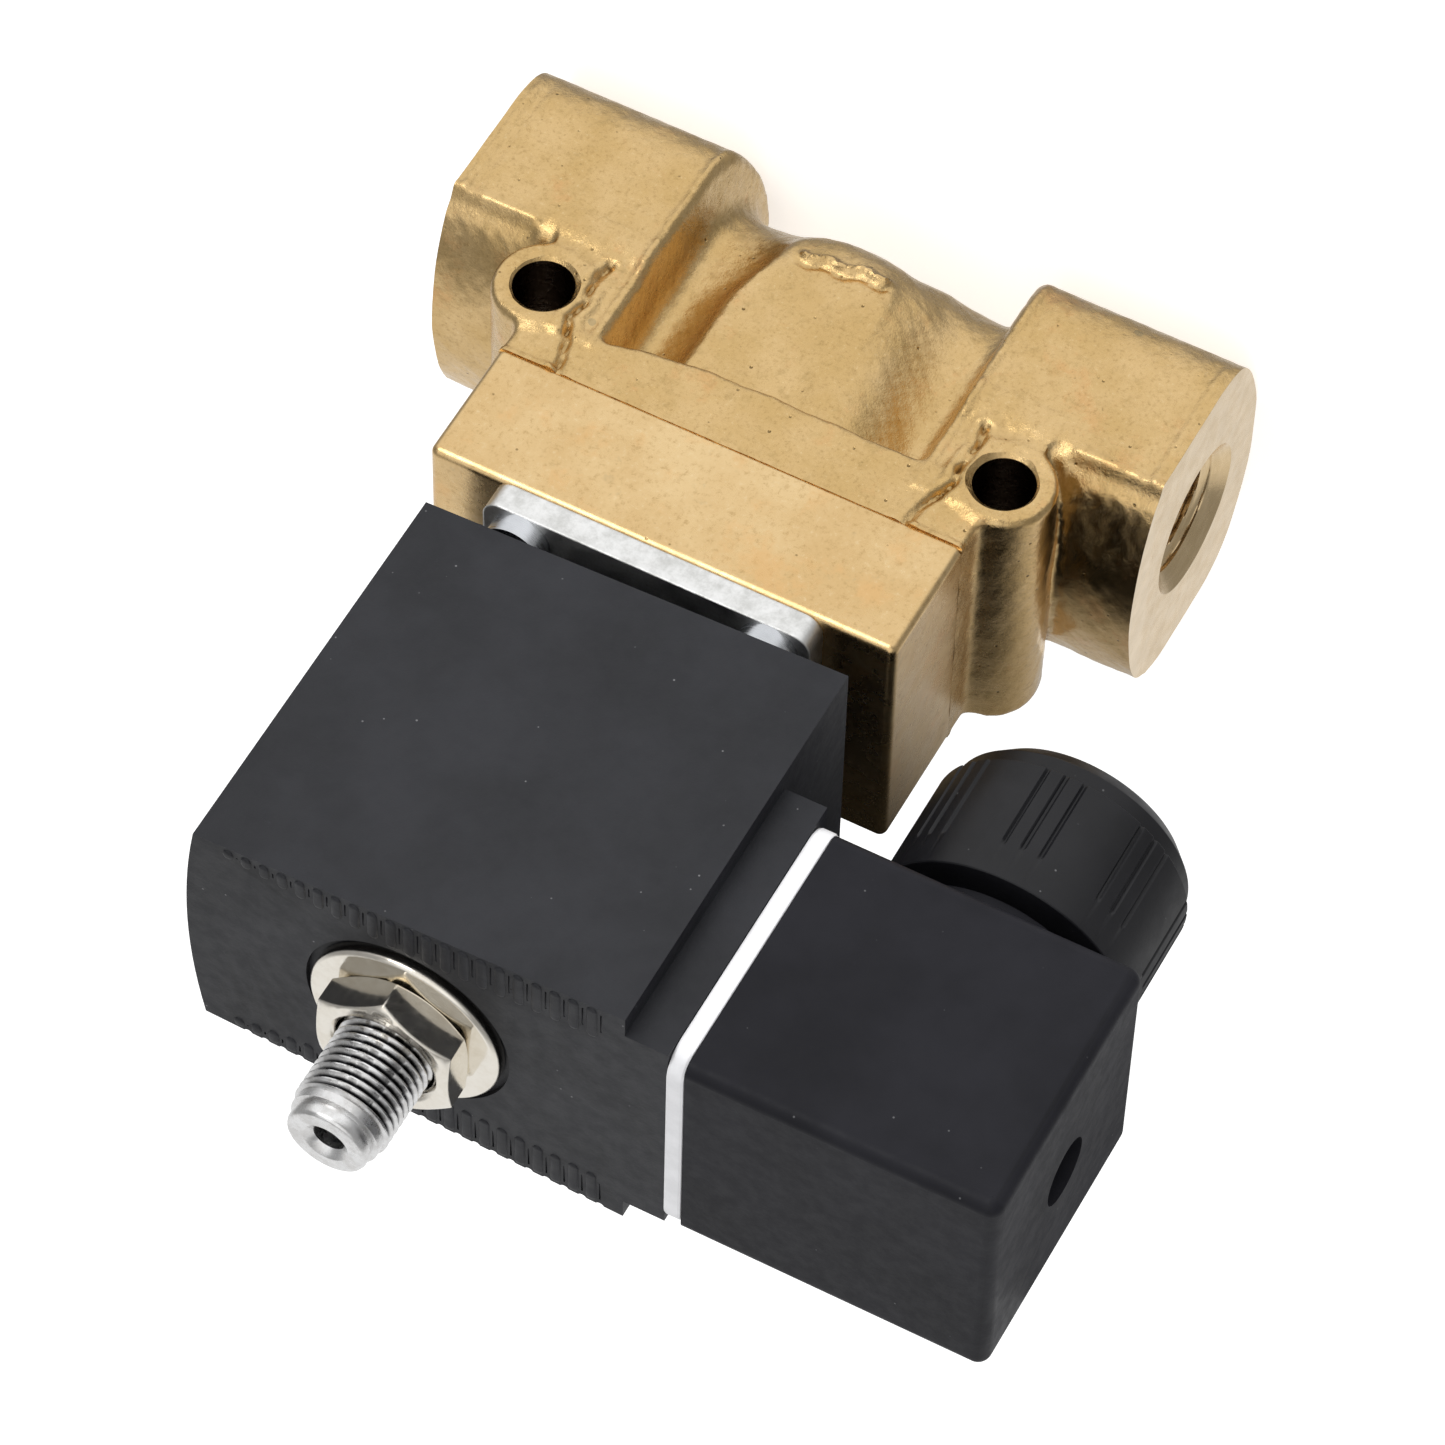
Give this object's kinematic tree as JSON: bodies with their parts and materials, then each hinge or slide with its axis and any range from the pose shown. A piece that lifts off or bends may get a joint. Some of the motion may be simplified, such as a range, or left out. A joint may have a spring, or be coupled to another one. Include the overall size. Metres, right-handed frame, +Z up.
{
  "type": "solenoid valve",
  "caption": "Pilot-operated brass solenoid valve with threaded ports, an encapsulated coil, an exhaust nipple and a plug connector with a cable gland.",
  "frame": {"origin": "midway between the two mounting holes, on the coil axis and in the valve's middle plane", "axes": "+X to the outlet port and the plug connector, +Y square to the broad side along the mounting holes, +Z up the coil axis to the exhaust nipple"},
  "size_m": [0.0994, 0.0336, 0.1161],
  "materials": {
    "cast_brass": "forged, matt",
    "machined_brass": "milled, satin",
    "turned_brass": "turned, satin",
    "stainless": "satin",
    "turned_stainless": "turned, bright",
    "magnetic_steel": "turned",
    "zinc_steel": "zinc plated",
    "nickel": "nickel plated, polished",
    "spring_steel": "drawn wire",
    "copper": "bare copper",
    "enamelled_wire": "enamelled copper wire",
    "coil_resin": "moulded, fine matt",
    "plug_plastic": "moulded, smooth matt",
    "gland_plastic": "moulded, smooth matt",
    "insert_plastic": "moulded",
    "bobbin_plastic": "moulded",
    "white_silicone": "smooth",
    "black_rubber": "smooth",
    "ptfe": "machined"
  },
  "bodies": {
    "root": {"valve_body": "cast_brass", "cover_o_ring": "black_rubber", "valve_cover": "machined_brass", "flange_plate": "stainless", "plate_screws": "zinc_steel", "piston_spring": "spring_steel", "armature_tube": "turned_stainless", "tube_o_ring": "black_rubber", "pilot_seat": "turned_brass", "plunger_spring": "spring_steel", "core_nipple": "turned_stainless", "shading_ring": "copper", "coil_washer": "nickel", "coil_nut": "nickel"},
    "piston": {"main_piston": "turned_brass", "piston_ring": "ptfe", "seat_seal": "black_rubber", "seal_retainer": "stainless", "retainer_screw": "stainless"},
    "plunger": {"plunger": "magnetic_steel", "plunger_seal": "black_rubber"},
    "coil_unit": {"coil_shell": "coil_resin", "coil_bobbin": "bobbin_plastic", "coil_winding": "enamelled_wire", "coil_frame": "magnetic_steel", "coil_blades": "nickel", "connector_gasket": "white_silicone", "connector_housing": "plug_plastic", "connector_insert": "insert_plastic", "contact_clips": "turned_brass", "terminal_screws": "zinc_steel", "connector_screw": "zinc_steel", "screw_o_ring": "black_rubber", "gland_nut": "gland_plastic", "gland_washer": "stainless", "gland_grommet": "black_rubber"}
  },
  "joints": [
    {"name": "piston_stroke", "type": "slide", "parent": "root", "child": "piston", "axis": [0, 0, 1], "range_m": [0, 0.0035], "stiffness_N_per_m": 300, "springref_m": -0.004, "deforming": ["piston_spring"]},
    {"name": "plunger_stroke", "type": "slide", "parent": "root", "child": "plunger", "axis": [0, 0, 1], "range_m": [0, 0.0015], "stiffness_N_per_m": 200, "springref_m": -0.004, "deforming": ["plunger_spring"]},
    {"name": "coil_turn", "type": "hinge", "parent": "root", "child": "coil_unit", "pos_m": [0, 0, 0.05], "axis": [0, 0, 1], "continuous": true}
  ]
}
